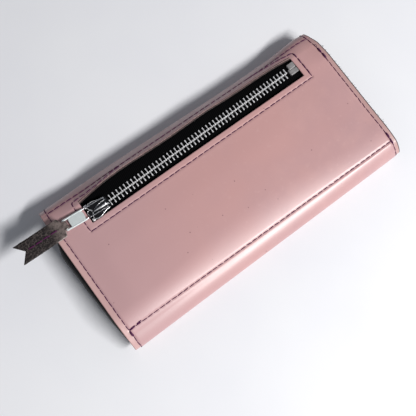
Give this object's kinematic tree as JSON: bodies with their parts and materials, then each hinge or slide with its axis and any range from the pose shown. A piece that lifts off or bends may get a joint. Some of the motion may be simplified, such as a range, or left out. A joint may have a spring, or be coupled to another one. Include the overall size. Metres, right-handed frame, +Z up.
{
  "type": "flap wallet with zipped coin pocket",
  "caption": "Long leather flap wallet lying on its flap, with a zipped coin pocket in its back, a metal puller and a forked leather pull tab.",
  "frame": {"origin": "on the flap's flat outer face, under the middle of the back panel", "axes": "+X along the wallet's long side, away from the pull tab; +Y from the bottom fold to the top fold; +Z up through the thickness"},
  "size_m": [0.2135, 0.0923, 0.0206],
  "materials": {
    "pink_leather": "satin",
    "black_lining": "matte",
    "gusset_leather": "satin",
    "zip_tape": "matte",
    "zip_metal": "satin",
    "stop_metal": "satin",
    "chrome_metal": "polished",
    "snap_metal": "satin",
    "tab_leather": "pebbled",
    "plum_thread": "twisted"
  },
  "bodies": {
    "wallet_body": {"outer_cover": "pink_leather", "front_lining": "black_lining", "pocket_divider": "black_lining", "coin_bag_inner_panel": "black_lining", "coin_bag_outer_panel": "black_lining", "coin_bag_side_strip": "black_lining", "card_slot_row_1": "black_lining", "card_slot_row_2": "black_lining", "card_slot_row_3": "black_lining", "gusset_left": "gusset_leather", "gusset_right": "gusset_leather", "snap_socket": "snap_metal", "snap_socket_washer": "snap_metal", "zip_tape_upper": "zip_tape", "zip_tape_lower": "zip_tape", "zip_teeth_upper": "zip_metal", "zip_teeth_lower": "zip_metal", "zip_top_stops": "zip_metal", "zip_bottom_stop": "stop_metal", "stitch_left_edge": "plum_thread", "stitch_right_edge": "plum_thread", "stitch_top_seam": "plum_thread", "stitch_bottom_seam": "plum_thread", "stitch_window": "plum_thread"},
    "flap_fold": {"flap_fold_leather": "pink_leather", "flap_fold_lining": "black_lining", "stitch_flap_fold": "plum_thread"},
    "flap": {"flap_leather": "pink_leather", "flap_lining": "black_lining", "stitch_flap": "plum_thread", "snap_stud": "snap_metal", "snap_stud_washer": "snap_metal"},
    "slider": {"slider_body": "chrome_metal", "slider_crown": "chrome_metal"},
    "puller": {"puller_frame": "chrome_metal"},
    "pull_tab": {"pull_tab_leather": "tab_leather", "stitch_pull_tab": "plum_thread"}
  },
  "joints": [
    {"name": "top_fold_bend", "type": "hinge", "parent": "wallet_body", "child": "flap_fold", "pos_m": [0, 0.0424, 0.017], "axis": [1, 0, 0], "range_deg": [0, 90]},
    {"name": "flap_bend", "type": "hinge", "parent": "flap_fold", "child": "flap", "pos_m": [0, 0.0424, 0], "axis": [1, 0, 0], "range_deg": [0, 90]},
    {"name": "zip_slide", "type": "slide", "parent": "wallet_body", "child": "slider", "axis": [0.9998, 0.0175, 0], "range_m": [0, 0.1275], "deforming": ["zip_tape_upper", "zip_tape_lower", "zip_teeth_upper", "zip_teeth_lower"]},
    {"name": "puller_swing", "type": "hinge", "parent": "slider", "child": "puller", "pos_m": [-0.06199, 0.02852, 0.0186], "axis": [0.0785, 0.9969, 0], "range_deg": [0, 150]},
    {"name": "pull_tab_swing", "type": "hinge", "parent": "puller", "child": "pull_tab", "pos_m": [-0.08671, 0.03046, 0.0186], "axis": [0.0785, 0.9969, 0], "range_deg": [0, 50]}
  ],
  "couplings": [
    {"joint": "flap_bend", "follows": "top_fold_bend", "ratio": 1}
  ]
}
